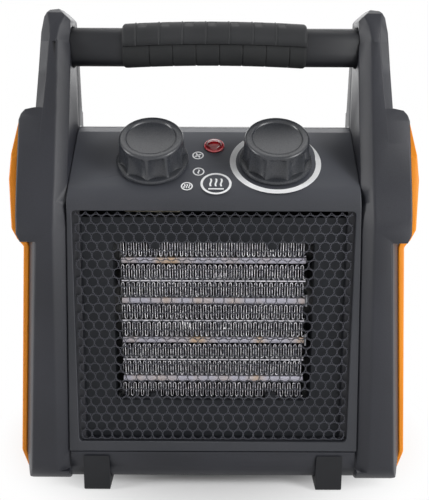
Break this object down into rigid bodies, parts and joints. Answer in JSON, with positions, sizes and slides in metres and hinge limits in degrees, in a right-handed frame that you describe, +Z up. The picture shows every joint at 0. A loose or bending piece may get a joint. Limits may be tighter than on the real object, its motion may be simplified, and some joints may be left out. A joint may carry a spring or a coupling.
{
  "type": "forced air heater",
  "caption": "Portable forced air heater with two lofted arms and a ribbed carrying bar, a sloping panel with two knobs, and a honeycomb grille over a ceramic fin element.",
  "frame": {"origin": "centre of the heater's bounding box, at the floor it stands on", "axes": "+X to the right as seen from the front, +Y from the front grille to the rear intake, +Z up"},
  "size_m": [0.204, 0.166, 0.246],
  "materials": {
    "charcoal_body": "fine-grained charcoal moulded shell",
    "black_plastic": "satin near-black moulding",
    "orange_plastic": "satin orange moulding",
    "soft_grip": "matt grey-black soft grip",
    "foot_rubber": "matt grey-black rubber",
    "heat_resin": "matt black heat-resistant resin",
    "pale_resin": "pale natural resin",
    "red_lens": "clear deep red lens",
    "grille_metal": "dark coated expanded sheet",
    "fin_aluminium": "bare rolled aluminium",
    "zinc_steel": "zinc-plated steel"
  },
  "bodies": {
    "heater_body": {"arm_screw_1": "zinc_steel", "arm_screw_2": "zinc_steel", "body_screw_1": "zinc_steel", "body_screw_2": "zinc_steel", "body_screw_3": "zinc_steel", "body_screw_4": "zinc_steel", "cable_gland": "black_plastic", "carrying_bar": "black_plastic", "element_frame": "heat_resin", "fan_duct": "heat_resin", "fan_motor": "zinc_steel", "fin_row_1": "fin_aluminium", "fin_row_2": "fin_aluminium", "fin_row_3": "fin_aluminium", "fin_row_4": "fin_aluminium", "fin_row_5": "fin_aluminium", "fin_row_6": "fin_aluminium", "fin_row_7": "fin_aluminium", "fin_row_8": "fin_aluminium", "front_grille": "grille_metal", "front_housing": "charcoal_body", "front_panel": "charcoal_body", "heating_bar_1": "fin_aluminium", "heating_bar_2": "fin_aluminium", "heating_bar_3": "fin_aluminium", "heating_bar_4": "fin_aluminium", "intake_grille": "black_plastic", "lamp_holder": "pale_resin", "lamp_lens": "red_lens", "left_front_foot": "foot_rubber", "left_rear_foot": "foot_rubber", "left_side_panel": "orange_plastic", "lower_grip": "soft_grip", "lower_terminal": "zinc_steel", "motor_bracket": "zinc_steel", "rear_housing": "charcoal_body", "right_front_foot": "foot_rubber", "right_rear_foot": "foot_rubber", "right_side_panel": "orange_plastic", "selector_switch": "pale_resin", "stack_plate_1": "fin_aluminium", "stack_plate_2": "fin_aluminium", "stack_plate_3": "fin_aluminium", "terminal_block": "pale_resin", "thermal_cutout": "pale_resin", "thermostat_body": "zinc_steel", "upper_grip": "soft_grip", "upper_terminal": "zinc_steel"},
    "selector": {"selector_knob": "black_plastic", "selector_spindle": "zinc_steel"},
    "thermostat": {"thermostat_knob": "black_plastic", "thermostat_spindle": "zinc_steel"},
    "fan": {"fan_impeller": "heat_resin", "motor_shaft": "zinc_steel"}
  },
  "joints": [
    {"name": "selector_turn", "type": "hinge", "parent": "heater_body", "child": "selector", "pos_m": [-0.031, -0.0591, 0.17094], "axis": [0, -0.5736, 0.8192], "range_deg": [0, 135]},
    {"name": "thermostat_turn", "type": "hinge", "parent": "heater_body", "child": "thermostat", "pos_m": [0.031, -0.0591, 0.17094], "axis": [0, -0.5736, 0.8192], "range_deg": [0, 270]},
    {"name": "fan_spin", "type": "hinge", "parent": "heater_body", "child": "fan", "pos_m": [0, 0.001, 0.09], "axis": [0, 1, 0], "continuous": true}
  ]
}
